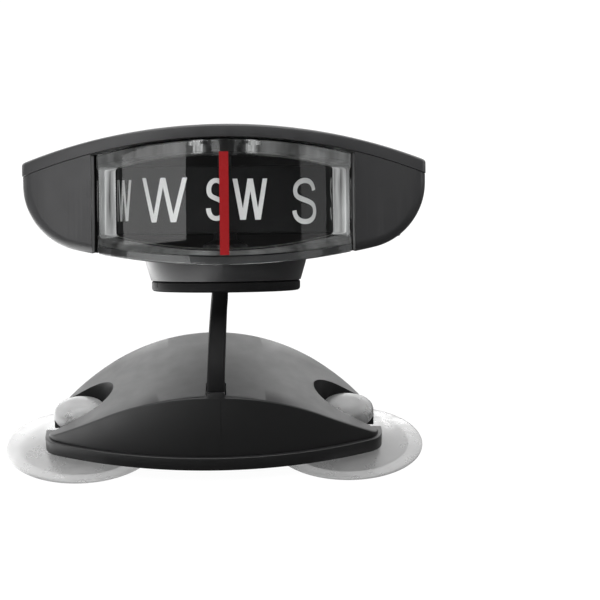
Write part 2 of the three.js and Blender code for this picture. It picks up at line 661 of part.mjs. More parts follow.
card.add(mesh('pivot_post', pivotPost(), HOUSING));
card.add(mesh('pivot_pin', pivotPin(), STEEL));
card.add(mesh('jewel_bearing', jewelBearing(), JEWEL));
card.add(mesh('compass_card', compassCard(), CARD_BLACK));
card.add(mesh('card_float', cardFloat(), FLOAT_FOAM));
card.add(mesh('card_magnet_left', cardMagnet(-1), MAGNET));
card.add(mesh('card_magnet_right', cardMagnet(1), MAGNET));

export default compass;
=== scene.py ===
"""Dash compass on a curved arm and a two-cup stand: fine surfaces, materials, light and camera."""

import json
import math

import bmesh
import bpy
from mathutils import Matrix, Vector


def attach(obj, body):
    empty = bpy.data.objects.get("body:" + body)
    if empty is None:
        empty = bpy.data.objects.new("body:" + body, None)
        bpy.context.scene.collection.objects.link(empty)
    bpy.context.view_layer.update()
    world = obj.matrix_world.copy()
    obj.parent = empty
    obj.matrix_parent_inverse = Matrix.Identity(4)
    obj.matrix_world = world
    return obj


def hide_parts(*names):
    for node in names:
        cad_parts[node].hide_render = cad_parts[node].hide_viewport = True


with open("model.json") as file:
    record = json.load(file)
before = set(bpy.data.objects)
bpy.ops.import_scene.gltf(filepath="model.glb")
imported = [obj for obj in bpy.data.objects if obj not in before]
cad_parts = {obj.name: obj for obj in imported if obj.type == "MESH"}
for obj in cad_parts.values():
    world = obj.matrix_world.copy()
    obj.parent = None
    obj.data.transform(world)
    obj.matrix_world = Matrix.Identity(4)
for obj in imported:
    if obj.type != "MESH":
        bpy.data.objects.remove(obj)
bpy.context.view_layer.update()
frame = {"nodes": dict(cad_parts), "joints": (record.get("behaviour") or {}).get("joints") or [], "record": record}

# ---------------- places, from the frame

MM = 0.001
JOINTS = {joint["name"]: joint for joint in frame["joints"]}
MOUNTS = {mount["name"]: mount for mount in frame["record"]["mounts"]}


def frame_at(origin, up=(0, 0, 1)):
    """A frame with its origin at a point, +Z along up and +X to the reader's right."""
    z = Vector(up).normalized()
    x = Vector((1, 0, 0))
    y = z.cross(x)
    turn = Matrix((x, y, z)).transposed().to_4x4()
    return Matrix.Translation(Vector(origin)) @ turn


HEAD = frame_at(JOINTS["head_swivel"]["pos_m"], JOINTS["head_swivel"]["axis"])
CARD = frame_at(JOINTS["card_spin"]["pos_m"], JOINTS["card_spin"]["axis"])
base_x, base_y, _ = MOUNTS["base_underside"]["pos_m"]
STAND = frame_at((base_x, base_y, 0))
CARD_Y = (HEAD.inverted() @ CARD.translation).y / MM

# ---------------- sizes in millimetres

FIT = 0.3                   # gap between neighbouring parts
SEAM = 0.06                 # gap left at a closed seam between two mouldings
FAR = 60.0                  # a level or a reach outside every part

# Head shell, in the head's frame
HEAD_HALF_WIDTH = 41.8
HEAD_FRONT = 23.5
HEAD_BACK = 26.8
FRONT_RADIUS = 90.0
BACK_RADIUS = 130.0
FRONT_CORNER = 1.5
BACK_CORNER = 12.0
HULL_BOTTOM = 5.85
KEEL_RADIUS = 145.0
BILGE_RADIUS = 14.0
COVER_TOP = 34.5
COVER_RADIUS = 120.5
COVER_THICKNESS = 2.6
COVER_EDGE_ROUND = 0.5
COVER_FOOT_INSET = 0.12     # the cover's lower edge stands back by this
HULL_EDGE_ROUND = 2.0
COLLAR_BOTTOM_RADIUS = 16.0
COLLAR_TOP_RADIUS = 17.0
COLLAR_BORE = 13.0
COLLAR_GAP = 0.15           # between the collar and the swivel disc
COLLAR_FLOOR = 1.6          # depth of solid at the collar's end, below its bore
COLLAR_ROOT = 0.9           # the collar runs this far up into the hull
HUB_RADIUS = 5.3
HUB_TOP = 12.0
DISC_RADIUS = 15.8
DISC_THICKNESS = 2.1
DISC_HUB_RADIUS = 5.0
DISC_HUB_TOP = 4.2
DISC_SCREW_RADIUS = 1.5
DISC_SKIN = 0.5             # left under the swivel screw's hole

# Capsule
CAPSULE_HALF_WIDTH = 26.3
CAPSULE_BACK = 20.4
LENS_FRONT = 22.3
LENS_RADIUS = 46.0
LENS_WALL = 2.4
LENS_LIP = 4.4
CAPSULE_FLOOR = 7.9
CHAMBER_HALF_WIDTH = 21.8
CHAMBER_BOTTOM = 8.9
CHAMBER_TOP = 28.8
CHAMBER_ARC = 82.0
BED_BACK = 23.1             # the capsule's bed in the housing
BED_RADIUS = KEEL_RADIUS - 1.5
WINDOW_GAP_LEFT = 0.85      # from the capsule's side to the window's, in the housing
WINDOW_GAP_RIGHT = 0.45
CAPSULE_ROUND = 0.5
CHAMBER_ROUND = 0.8
PLUG_RADIUS = 5.6
PLUG_FLANGE_RADIUS = 6.3
PLUG_HOLE_FLOOR = 25.0
PLUG_SEAT = 30.0
# Radius and height of the plug's turned outline, from the tip of its guard to its top
PLUG_PROFILE = [
    (0, 22.4), (1.2, 22.4), (1.2, 27.8), (PLUG_RADIUS - 0.3, 27.8), (PLUG_RADIUS, 28.1), (PLUG_RADIUS, 30.3),
    (PLUG_FLANGE_RADIUS, 30.3), (PLUG_FLANGE_RADIUS, 31.0), (PLUG_FLANGE_RADIUS - 0.2, 31.2), (0, 31.2),
]

# Card
CARD_RADIUS = 19.8
CARD_WALL = 0.8
CARD_BOTTOM = 12.4
CARD_TOP = 25.9
CARD_EDGE = 0.2
CARD_INNER = CARD_RADIUS - CARD_WALL
# Radius and height of the drum's turned outline: boss, web, wall and the web's upper side
CARD_PROFILE = [
    (0, 20.5), (1.3, 20.5), (1.3, 18.6), (2.6, 18.6), (2.6, 21), (CARD_INNER, 22.6),
    (CARD_INNER, CARD_BOTTOM), (CARD_RADIUS - CARD_EDGE, CARD_BOTTOM), (CARD_RADIUS, CARD_BOTTOM + CARD_EDGE),
    (CARD_RADIUS, CARD_TOP - CARD_EDGE), (CARD_RADIUS - CARD_EDGE, CARD_TOP), (CARD_INNER, CARD_TOP),
    (CARD_INNER, 23.4), (2.6, 21.8), (0, 21.8),
]
CARD_TURN = math.radians(7.5)       # SW stands this far past the lubber line
LETTER_MIDDLE = 19.2
CARDINAL_HEIGHT = 9.0
BETWEEN_HEIGHT = 8.3
BETWEEN_GAP = 1.2           # between the two letters of a heading such as SW
LETTER_PROUD = 0.05
LETTER_SUNK = 0.01          # the letters' undersides lie this deep in the drum
LETTER_SLICE = 0.5          # letters are cut at this spacing, so that they bend with the drum
STROKE_SHARE = 0.115        # width of a stroke as a share of the letter's height

# Lubber line
LUBBER_WIDTH = 1.9
LUBBER_BOTTOM = 7.9
LUBBER_TOP = 28.9
LUBBER_THICKNESS = 0.25
LUBBER_GAP = 0.03

# Stand
PLATE_BOTTOM = 3.0
PLATE_TOP = 6.0
PLATE_HALF_LENGTH = 36.4
PLATE_FRONT = 17.0
PLATE_BACK = 16.7
PLATE_FRONT_RADIUS = 79.6
PLATE_BACK_RADIUS = 100.0
PLATE_FRONT_CORNER = 4.0
PLATE_BACK_CORNER = 18.0
PLATE_EDGE_ROUND = 0.2
RIM_STEP = 0.8              # the cover stands back from the plate's edge by this
COVER_RIM_ROUND = 0.35
BASE_SCREW_X = 13.0
BASE_SCREW_RADIUS = 1.5
BASE_SCREW_HEAD_RADIUS = 2.9
BASE_SCREW_HEAD_TOP = PLATE_BOTTOM + 1.7
ARCH_TOP = 20.1
ARCH_RADIUS = 46.0
ARCH_HALF_ANGLE = math.radians(30)
NOTCH_HALF_WIDTH = 6.1
NOTCH_CENTRE_X = 27.8
CUP_X = 29.1
CUP_NECK_RADIUS = 2.8
CUP_NECK_TOP = 6.0
CUP_SLOT_GAP = 0.4
CUP_SLOT_X = CUP_X - 0.1
# Radius and height of a cup's turned outline: underside, rim, upper side, neck and button
CUP_PROFILE = [
    (0, 1.1), (3, 1.08), (6, 1.0), (8.5, 0.84), (11, 0.6), (12.4, 0.3), (13.4, 0.0), (16.3, 0.0),
    (16.55, 0.12), (16.6, 0.35), (16.5, 0.55), (16.2, 0.66), (13.5, 1.05), (11.5, 1.5), (9, 1.95), (7, 2.3),
    (5.4, 2.55), (4.0, 2.78), (3.2, 2.9), (2.85, 3.3), (2.8, 4.6), (2.85, 5.9), (3.2, 6.25), (4.0, 6.3),
    (4.8, 6.4), (5.4, 6.9), (5.72, 7.5), (5.8, 8.1), (5.74, 8.7), (5.5, 9.4), (5.0, 9.95), (4.3, 10.3),
    (3.4, 10.5), (2.2, 10.58), (1.0, 10.6), (0, 10.6),
]
ARM_X = 0.7                 # middle of the arm's foot
ARM_LEAN = 1.1              # sideways lean, most of it near the top
ARM_WIDTH = 3.85
ARM_TAPER = 0.13            # share of the width lost by the top
ARM_FRONT = -15.1
ARM_BACK = -9.6
ARM_BOTTOM = 11.3
ARM_ROOT = ARCH_TOP - 0.5   # the arm stands straight below this
ARM_EDGE_ROUND = 0.5
POCKET_GAP = 0.2
POCKET_FLOOR = 11.0
LIP_HEIGHT = 0.9
PARTING_OFFSET = 0.9        # the mould's parting line lies this far right of the arm's middle
PARTING_HALF = 0.07
PARTING_PROUD = 0.04
DISC_MARK_ANGLE = math.radians(-66)     # a small moulded notch in the disc's rim, left of the front
DISC_MARK_HALF = 0.14
DISC_MARK_DEPTH = 0.35
DISC_MARK_BOTTOM = 0.8

COVER_UNDERSIDE = COVER_TOP - COVER_THICKNESS
UNDERSIDE_RADIUS = COVER_RADIUS - COVER_THICKNESS

# ---------------- outlines


def arc(x, y, radius, start, end, steps):
    """Points of an arc, both ends included."""
    turns = [start + (end - start) * i / steps for i in range(steps + 1)]
    return [(x + radius * math.cos(a), y + radius * math.sin(a)) for a in turns]


def barrel(half_width, low, low_radius, low_corner, high, high_radius, high_corner, inset=0.0,
           steps=48, corner_steps=8):
    """A barrel outline: straight sides, and two ends that bulge out with corner rounds."""
    half = half_width - inset
    tiny = 0.02
    ends = []
    for edge, radius, corner, sign in ((low + inset, low_radius, low_corner, -1),
                                       (high - inset, high_radius, high_corner, 1)):
        radius -= inset
        corner = max(corner - inset, tiny)
        centre = edge - sign * radius
        reach = math.sqrt((radius - corner) ** 2 - (half - corner) ** 2)
        ends.append((centre, radius, corner, centre + sign * reach, math.atan2(half - corner, reach)))
    (low_centre, low_r, low_c, low_y, low_turn), (high_centre, high_r, high_c, high_y, high_turn) = ends
    quarter = math.pi / 2
    points = arc(0, low_centre, low_r, -quarter - low_turn, -quarter + low_turn, steps)
    points += arc(half - low_c, low_y, low_c, -quarter + low_turn, 0, corner_steps)[1:]
    points += arc(half - high_c, high_y, high_c, 0, quarter - high_turn, corner_steps)
    points += arc(0, high_centre, high_r, quarter - high_turn, quarter + high_turn, steps)[1:]
    points += arc(-half + high_c, high_y, high_c, quarter + high_turn, 2 * quarter, corner_steps)[1:]
    points += arc(-half + low_c, low_y, low_c, 2 * quarter, 3 * quarter - low_turn, corner_steps)[:-1]
    return points


def spread(half, steps):
    """Evenly spaced values from -half to half."""
    return [half * (2 * i / steps - 1) for i in range(steps + 1)]


def across(half, step):
    """Values a step apart, with one at 0, that stay within half on both sides."""
    count = int(half / step)
    return [i * step for i in range(-count, count + 1)]


def on_arc(u, edge, radius):
    """Height at u of an arc whose middle touches edge: it falls away for a positive radius."""
    return edge - math.copysign(abs(radius) - math.sqrt(max(radius * radius - u * u, 0)), radius)


def offset(points, distance):
    """A closed outline moved inwards by a distance, corner by corner."""
    moved = []
    for i, point in enumerate(points):
        here = Vector(point)
        before = (here - Vector(points[i - 1])).normalized()
        after = (Vector(points[(i + 1) % len(points)]) - here).normalized()
        inward = Vector((-before.y - after.y, before.x + after.x)).normalized()
        spread = max(0.35, inward.dot(Vector((-before.y, before.x))))
        moved.append(tuple(here + inward * (distance / spread)))
    return moved


def bezier(start, pull_start, pull_end, end, steps):
    """Points of a cubic curve, both ends included."""
    points = []
    for i in range(steps + 1):
        t = i / steps
        s = 1 - t
        points.append(tuple(
            s ** 3 * a + 3 * s * s * t * b + 3 * s * t * t * c + t ** 3 * d
            for a, b, c, d in zip(start, pull_start, pull_end, end)))
    return points


def round_steps(radius, steps=4):
    """(inset, depth) pairs of a quarter round at an edge, from the wall to the face."""
    turns = [math.pi / 2 * i / steps for i in range(steps + 1)]
    return [(radius * (1 - math.cos(a)), radius * (1 - math.sin(a))) for a in turns]


# ---------------- solids

PLAN = "plan"          # outline in x, y; levels in z
FACE = "face"          # outline in x, z; levels in y


def slab(rings, lay=PLAN, slices=(), warp=None):
    """A closed solid through rings of (outline, level). It is cut at slices, so that warp can bend it."""
    bm = bmesh.new()
    loops = [[bm.verts.new((u, v, level)) for u, v in outline] for outline, level in rings]
    for lower, upper in zip(loops, loops[1:]):
        for i in range(len(lower)):
            bm.faces.new((lower[i - 1], lower[i], upper[i], upper[i - 1]))
    bm.faces.new(loops[0][::-1])
    bm.faces.new(loops[-1])
    for axis, places in slices:
        normal = Vector([float(k == axis) for k in range(3)])
        for place in places:
            everything = bm.verts[:] + bm.edges[:] + bm.faces[:]
            bmesh.ops.bisect_plane(bm, geom=everything, dist=1e-4, plane_co=normal * place, plane_no=normal)
    for vert in bm.verts:
        u, v, level = vert.co
        if warp:
            u, v, level = warp(u, v, level)
        vert.co = (u, v, level) if lay == PLAN else (u, level, v)
    bmesh.ops.recalc_face_normals(bm, faces=bm.faces)
    mesh = bpy.data.meshes.new("slab")
    bm.to_mesh(mesh)
    bm.free()
    return mesh


def lathe(profile, steps=96, middle=(0, 0)):
    """A closed profile of (radius, height) points turned about an upright axis."""
    bm = bmesh.new()
    centre_x, centre_y = middle
    on_axis = 1e-6
    columns = []
    for radius, height in profile:
        if radius < on_axis:
            columns.append([bm.verts.new((centre_x, centre_y, height))] * steps)
            continue
        ring = []
        for i in range(steps):
            a = 2 * math.pi * i / steps
            place = (centre_x + radius * math.cos(a), centre_y + radius * math.sin(a), height)
            ring.append(bm.verts.new(place))
        columns.append(ring)
    pairs = list(zip(columns, columns[1:]))
    if profile[0][0] > on_axis or profile[-1][0] > on_axis:
        pairs.append((columns[-1], columns[0]))
    for first, second in pairs:
        for i in range(steps):
            corners = []
            for vert in (first[i - 1], first[i], second[i], second[i - 1]):
                if vert not in corners:
                    corners.append(vert)
            if len(corners) > 2:
                bm.faces.new(corners)
    bmesh.ops.recalc_face_normals(bm, faces=bm.faces)
    mesh = bpy.data.meshes.new("lathe")
    bm.to_mesh(mesh)
    bm.free()
    return mesh


def box_mesh(low, high):
    """An upright box between two opposite corners."""
    outline = [(low[0], low[1]), (high[0], low[1]), (high[0], high[1]), (low[0], high[1])]
    return slab([(outline, low[2]), (outline, high[2])])


def applied(mesh, kind, **settings):
    """The mesh with one modifier applied."""
    item = bpy.data.objects.new("work", mesh)
    bpy.context.scene.collection.objects.link(item)
    modifier = item.modifiers.new("work", kind)
    for name, value in settings.items():
        setattr(modifier, name, value)
    graph = bpy.context.evaluated_depsgraph_get()
    result = bpy.data.meshes.new_from_object(item.evaluated_get(graph))
    bpy.data.objects.remove(item)
    return result


def combine(mesh, tools, operation):
    """The mesh after one boolean with each tool in turn."""
    for tool in tools:
        helper = bpy.data.objects.new("tool", tool)
        bpy.context.scene.collection.objects.link(helper)
        mesh = applied(mesh, "BOOLEAN", object=helper, operation=operation, solver="EXACT")
        bpy.data.objects.remove(helper)
    return mesh


def cut(mesh, *tools):
    return combine(mesh, tools, "DIFFERENCE")


def join(mesh, *tools):
    return combine(mesh, tools, "UNION")


def common(mesh, *tools):
    return combine(mesh, tools, "INTERSECT")


def soften(mesh, width):
    """The mesh with its edges rounded."""
    return applied(mesh, "BEVEL", width=width, segments=2, limit_method="ANGLE",
                   angle_limit=math.radians(35), use_clamp_overlap=True, miter_outer="MITER_ARC")


def piece(name, mesh, place, body, replaces, materials, sharp=32):
    """Puts a mesh made in millimetres into its frame, on its body, with its materials.
    Edges that turn by less than sharp, in degrees, are shaded smooth."""
    mesh.transform(Matrix.Scale(MM, 4))
    mesh.name = name
    mesh.materials.clear()
    for material in materials:
        mesh.materials.append(material)
    bm = bmesh.new()
    bm.from_mesh(mesh)
    for face in bm.faces:
        face.smooth = True
    for edge in bm.edges:
        if len(edge.link_faces) == 2:
            edge.smooth = edge.calc_face_angle(0) < math.radians(sharp)
    bm.to_mesh(mesh)
    bm.free()
    item = bpy.data.objects.new(name, mesh)
    bpy.context.scene.collection.objects.link(item)
    item.matrix_world = place
    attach(item, body)
    if replaces:
        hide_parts(*replaces)
    return item


# ---------------- materials


class Recipe:
    """A node material built step by step."""

    def __init__(self, name):
        self.material = bpy.data.materials.new(name)
        self.material.use_nodes = True
        self.nodes = self.material.node_tree.nodes
        self.links = self.material.node_tree.links
        self.shader = self.nodes["Principled BSDF"]

    def add(self, kind, **values):
        node = self.nodes.new(kind)
        for name, value in values.items():
            if name in node.inputs:
                node.inputs[name].default_value = value
            else:
                setattr(node, name, value)
        return node

    def set(self, **values):
        for name, value in values.items():
            self.shader.inputs[name.replace("_", " ")].default_value = value

    def noise(self, scale, detail=3.0, stretch=(1, 1, 1)):
        """3-D noise in the piece's own frame. Scale is in waves per metre."""
        place = self.add("ShaderNodeTexCoord")
        mapping = self.add("ShaderNodeMapping")
        mapping.inputs["Scale"].default_value = stretch
        texture = self.add("ShaderNodeTexNoise", Scale=scale, Detail=detail)
        self.links.new(place.outputs["Object"], mapping.inputs["Vector"])
        self.links.new(mapping.outputs["Vector"], texture.inputs["Vector"])
        return texture.outputs["Fac"]

    def between(self, factor, low, high):
        """A number that runs from low to high as factor runs from 0.3 to 0.7."""
        ranged = self.add("ShaderNodeMapRange")
        ranged.inputs["From Min"].default_value = 0.3
        ranged.inputs["From Max"].default_value = 0.7
        ranged.inputs["To Min"].default_value = low
        ranged.inputs["To Max"].default_value = high
        self.links.new(factor, ranged.inputs["Value"])
        return ranged.outputs["Result"]

    def tint(self, factor, first, second):
        """A colour between two, by factor."""
        blend = self.add("ShaderNodeMix", data_type="RGBA")
        colours = [socket for socket in blend.inputs if socket.type == "RGBA"]
        colours[0].default_value = (*first, 1)
        colours[1].default_value = (*second, 1)
        self.links.new(factor, blend.inputs["Factor"])
        result = [socket for socket in blend.outputs if socket.type == "RGBA"][0]
        self.links.new(result, self.shader.inputs["Base Color"])

    def glow(self, strength):
        """Painted glow: emission that stands in for light piped through the clear moulding onto a wall, streaked
        like its tint.
        """
        colour = self.shader.inputs["Base Color"].links[0].from_socket
        self.links.new(colour, self.shader.inputs["Emission Color"])
        self.shader.inputs["Emission Strength"].default_value = strength

    def rough(self, factor, low, high):
        """Roughness between two values, by factor."""
        self.links.new(self.between(factor, low, high), self.shader.inputs["Roughness"])

    def bump(self, height, distance, strength=1.0):
        """A bump whose full height is a distance in metres."""
        node = self.add("ShaderNodeBump", Strength=strength, Distance=distance)
        self.links.new(height, node.inputs["Height"])
        self.links.new(node.outputs["Normal"], self.shader.inputs["Normal"])

    def lets_lamps_through(self, tint):
        """Shadow rays pass a clear piece, so that lamps light what it holds."""
        path = self.add("ShaderNodeLightPath")
        clear = self.add("ShaderNodeBsdfTransparent")
        clear.inputs["Color"].default_value = (*tint, 1)
        mixed = self.add("ShaderNodeMixShader")
        output = self.nodes["Material Output"]
        self.links.new(path.outputs["Is Shadow Ray"], mixed.inputs["Fac"])
        self.links.new(self.shader.outputs["BSDF"], mixed.inputs[1])
        self.links.new(clear.outputs["BSDF"], mixed.inputs[2])
        self.links.new(mixed.outputs["Shader"], output.inputs["Surface"])


def moulded(name, dark, light, rough_low, rough_high, specular=0.5):
    """Moulded black plastic: slow colour and gloss drift, fine spark-eroded grain."""
    recipe = Recipe(name)
    recipe.set(IOR=1.5, Specular_IOR_Level=specular)
    recipe.tint(recipe.noise(90), dark, light)
    recipe.rough(recipe.noise(260, 4), rough_low, rough_high)
    recipe.bump(recipe.noise(5200, 2), 0.000004)
    return recipe.material


def acrylic(name, ior):
    """Clear moulding with polished faces."""
    recipe = Recipe(name)
    recipe.set(Base_Color=(0.965, 0.975, 0.97, 1), IOR=ior, Roughness=0.0, Transmission_Weight=1.0)
    recipe.lets_lamps_through((0.96, 0.965, 0.96))
    return recipe.material


def frosted_with_painted_light(name, dark, light, painted_glow_strength):
    """Unpolished wall of a clear moulding, with flow marks in its face. Its pale streaked tint and its glow are
    painted light and shade for light that the lens refracts and pipes in.
    """
    recipe = Recipe(name)
    recipe.set(IOR=1.45)
    # painted light and shade: the streaky pattern runs the tint from dark to pale, and also drives the bump
    painted_light_streaks = recipe.between(recipe.noise(900, 3, (0.3, 0.14, 0.06)), 0.0, 1.0)
    recipe.tint(painted_light_streaks, dark, light)
    # painted glow: emission in the tint's colour
    recipe.glow(painted_glow_strength)
    recipe.rough(recipe.noise(300, 3, (1.0, 1.0, 0.1)), 0.35, 0.55)
    recipe.bump(painted_light_streaks, 0.00012)
    return recipe.material


def rubbery(name, dark, light, roughness=(0.6, 0.8)):
    """Rubber, silicone or foam: dull, with an uneven skin."""
    recipe = Recipe(name)
    recipe.set(IOR=1.5)
    recipe.tint(recipe.noise(400), dark, light)
    recipe.rough(recipe.noise(900), *roughness)
    recipe.bump(recipe.noise(3000), 0.00001)
    return recipe.material


def metal(name, dark, light, roughness=(0.25, 0.45)):
    """Bare metal with fine marks across its height."""
    recipe = Recipe(name)
    recipe.set(Metallic=1.0)
    recipe.tint(recipe.noise(700, 4), dark, light)
    recipe.rough(recipe.noise(2500, 3, (1, 1, 6)), *roughness)
    recipe.bump(recipe.noise(4000, 2, (1, 1, 5)), 0.000003)
    return recipe.material


def vinyl(name, clarity, dark, light):
    """Clear soft vinyl: cloudy grey, with swirls from the mould that also carry painted highlights, and it blurs
    what lies behind it.
    """
    dark, light = (dark,) * 3, (light,) * 3
    recipe = Recipe(name)
    recipe.set(IOR=1.45, Transmission_Weight=clarity, Specular_IOR_Level=0.3)
    swirl_and_highlight = recipe.noise(130, 5, (1.0, 1.0, 1.6))
    # the tint is partly the vinyl's own swirls and partly painted highlight
    recipe.tint(swirl_and_highlight, dark, light)
    recipe.rough(recipe.noise(300), 0.22, 0.4)
    recipe.bump(recipe.noise(190, 4), 0.00004)
    recipe.lets_lamps_through([c * 0.9 for c in light])
    return recipe.material


def printed(name, dark, light, roughness=(0.45, 0.6), specular=0.5):
    """Ink or film with a faintly uneven coat."""
    recipe = Recipe(name)
    recipe.set(Specular_IOR_Level=specular)
    recipe.tint(recipe.noise(700), dark, light)
    recipe.rough(recipe.noise(1500), *roughness)
    recipe.bump(recipe.noise(5000, 2), 0.000003)
    return recipe.material


HOUSING = moulded("housing_black", (0.017, 0.017, 0.018), (0.024, 0.024, 0.025), 0.30, 0.40)
STAND_BLACK = moulded("stand_black", (0.006, 0.006, 0.0063), (0.009, 0.009, 0.0094), 0.40, 0.47)
ARM_BLACK = moulded("arm_black", (0.006, 0.006, 0.0063), (0.009, 0.009, 0.0094), 0.45, 0.55, specular=0.10)
CARD_BLACK = moulded("card_black", (0.005, 0.005, 0.0054), (0.008, 0.008, 0.0084), 0.55, 0.7, specular=0.06)
LENS_CLEAR = acrylic("clear_acrylic", 1.49)
# Side and back walls of the capsule: pale streaked tints and a glow, painted light for light piped through the
# lens
WALL_PAINTED_LIGHT = frosted_with_painted_light("clear_acrylic_wall_painted_light", (0.10, 0.10, 0.10), (0.95, 0.96, 0.96), 0.55)
BACK_PAINTED_LIGHT = frosted_with_painted_light("clear_acrylic_back_painted_light", (0.10, 0.10, 0.10), (0.80, 0.81, 0.81), 0.16)
LIQUID_FACE = acrylic("clear_acrylic_wetted", 1.028)         # acrylic against the damping liquid
VINYL = {           # each cup's disc and button; the right cup's copy is darker and the left cup's paler, painted shade and painted light for the light falling from the left
    "left": [vinyl("clear_vinyl_left", 0.86, 0.27, 0.44),
             vinyl("clear_vinyl_left_button", 0.75, 0.20, 0.86)],
    "right": [vinyl("clear_vinyl_right", 0.86, 0.17, 0.30),
              vinyl("clear_vinyl_right_button", 0.75, 0.16, 0.66)],
}
RUBBER_BLACK = rubbery("black_rubber", (0.01, 0.01, 0.01), (0.02, 0.02, 0.02))
SILICONE = rubbery("pale_silicone", (0.62, 0.62, 0.6), (0.72, 0.72, 0.7), (0.35, 0.5))
FOAM = rubbery("float_foam", (0.02, 0.02, 0.02), (0.04, 0.04, 0.04), (0.8, 0.95))
STEEL = metal("steel", (0.48, 0.49, 0.5), (0.62, 0.63, 0.64))
MAGNET = metal("magnet", (0.12, 0.125, 0.13), (0.2, 0.205, 0.21), (0.35, 0.55))
JEWEL = printed("jewel", (0.3, 0.008, 0.03), (0.4, 0.012, 0.045), (0.08, 0.14))
NYLON = printed("nylon", (0.68, 0.67, 0.62), (0.78, 0.77, 0.72))
LETTERS = printed("card_lettering", (0.64, 0.64, 0.64), (0.72, 0.72, 0.72), (0.6, 0.7), 0.1)
RED = printed("red_mark", (0.21, 0.0015, 0.003), (0.25, 0.003, 0.005), (0.6, 0.75), 0.2)


# ---------------- head shell


def head_plan(inset=0.0):
    """The head's outline from above."""
    return barrel(HEAD_HALF_WIDTH, -HEAD_FRONT, FRONT_RADIUS, FRONT_CORNER,
                  HEAD_BACK, BACK_RADIUS, BACK_CORNER, inset, steps=60, corner_steps=12)


def top_cover():
    """The arched top, with a small round along its upper edge."""
    thickness = 10.0            # levels run 0 to this, and are then fitted between the two arcs
    foot_level = 0.4
    rings = [(head_plan(COVER_FOOT_INSET), 0.0), (head_plan(), foot_level)]
    rings += [(head_plan(inset), thickness - depth * thickness / COVER_THICKNESS)
              for inset, depth in round_steps(COVER_EDGE_ROUND)]

    def bend(x, y, level):
        low = on_arc(x, COVER_UNDERSIDE, UNDERSIDE_RADIUS)
        high = on_arc(x, COVER_TOP, COVER_RADIUS)
        return x, y, low + (high - low) * level / thickness

    mesh = slab(rings, PLAN, [(0, across(HEAD_HALF_WIDTH, 1.5)), (1, across(HEAD_BACK, 6.0))], bend)
    return piece("top_cover_shell", mesh, HEAD, "head", ["top_cover"], [HOUSING])


def hull_front(x):
    """The head's front surface, from its plan."""
    edge = HEAD_HALF_WIDTH - FRONT_CORNER
    if abs(x) <= edge:
        return -on_arc(x, HEAD_FRONT, FRONT_RADIUS)
    start = -on_arc(edge, HEAD_FRONT, FRONT_RADIUS)
    past = min(abs(x) - edge, FRONT_CORNER)
    return start + FRONT_CORNER - math.sqrt(FRONT_CORNER ** 2 - past ** 2)


def lens_arc(front):
    """Depth at x of the arc parallel to the lens front that crosses the middle at front."""
    radius = LENS_RADIUS - (LENS_FRONT + front)
    return lambda x: front + radius - math.sqrt(radius * radius - x * x)


def lens_prism(front, half_width, low, high):
    """The upright body behind an arc parallel to the lens front."""
    back = FAR
    depth = lens_arc(front)
    outline = [(x, depth(x)) for x in spread(half_width, 40)] + [(half_width, back), (-half_width, back)]
    return slab([(outline, low), (outline, high)])


def hull_blank():
    """The hull without its hollows: a boat shape between the front surface, the plan and the cover."""
    rim = COVER_UNDERSIDE - SEAM
    back_level = 70.0

    def face(inset):
        return barrel(HEAD_HALF_WIDTH, HULL_BOTTOM, KEEL_RADIUS, BILGE_RADIUS, rim + 8, UNDERSIDE_RADIUS, 0,
                      inset, steps=60, corner_steps=24)

    def bend(x, z, level):
        return x, z, hull_front(x) + level

    rings = [(face(inset), depth) for inset, depth in round_steps(HULL_EDGE_ROUND, 7)[::-1]]
    rings.append((face(0.0), back_level))
    blank = slab(rings, FACE, [(0, across(HEAD_HALF_WIDTH, 1.5))], bend)
    plan = slab([(head_plan(), -5.0), (head_plan(), 50.0)])
    below = barrel(HEAD_HALF_WIDTH + 4, -5, 900, 0, rim, UNDERSIDE_RADIUS, 0)
    return common(blank, plan, slab([(below, -FAR), (below, FAR)], FACE))


def swivel_collar():
    """The cone under the hull, the shallow bore in its end and the hole for the disc's hub."""
    low = DISC_THICKNESS + COLLAR_GAP
    root = HULL_BOTTOM + COLLAR_ROOT
    collar = lathe([(0, low), (COLLAR_BOTTOM_RADIUS - 0.2, low), (COLLAR_BOTTOM_RADIUS - 0.06, low + 0.06),
                    (COLLAR_BOTTOM_RADIUS, low + 0.2), (COLLAR_TOP_RADIUS, HULL_BOTTOM),
                    (COLLAR_TOP_RADIUS + 0.2, root), (0, root)], 160)
    bore_floor = low + COLLAR_FLOOR
    bore = lathe([(0, bore_floor), (COLLAR_BORE, bore_floor), (COLLAR_BORE, HUB_TOP), (0, HUB_TOP)], 96)
    hub = lathe([(0, -1), (HUB_RADIUS, -1), (HUB_RADIUS, HUB_TOP), (0, HUB_TOP)], 64)
    return collar, bore, hub


def lower_hull():
    """The boat-shaped lower shell, open in front for the lens and below for the swivel."""
    lip = lens_arc(-LENS_FRONT + LENS_LIP + FIT)
    left, right = -CAPSULE_HALF_WIDTH - WINDOW_GAP_LEFT, CAPSULE_HALF_WIDTH + WINDOW_GAP_RIGHT
    xs = [left + (right - left) * i / 40 for i in range(41)]
    window = [(left, -FAR), (right, -FAR)] + [(x, lip(x)) for x in xs[::-1]]
    hull = cut(hull_blank(), slab([(window, -1.0), (window, FAR)]))
    bed = barrel(CAPSULE_HALF_WIDTH + FIT, CAPSULE_FLOOR - FIT, BED_RADIUS, 0, FAR, 500, 0)
    hull = cut(hull, slab([(bed, -FAR), (bed, BED_BACK)], FACE))
    collar, bore, hub = swivel_collar()
    hull = cut(join(hull, collar), bore, hub)
    return piece("lower_housing_shell", hull, HEAD, "head", ["lower_housing"], [HOUSING], 28)


# ---------------- capsule


POLISHED, SIDE_WALL, WETTED, BACK_WALL = range(4)       # places in the capsule's list of materials
BACK_LEVEL = 1000.0         # a ring at this level goes to the flat back


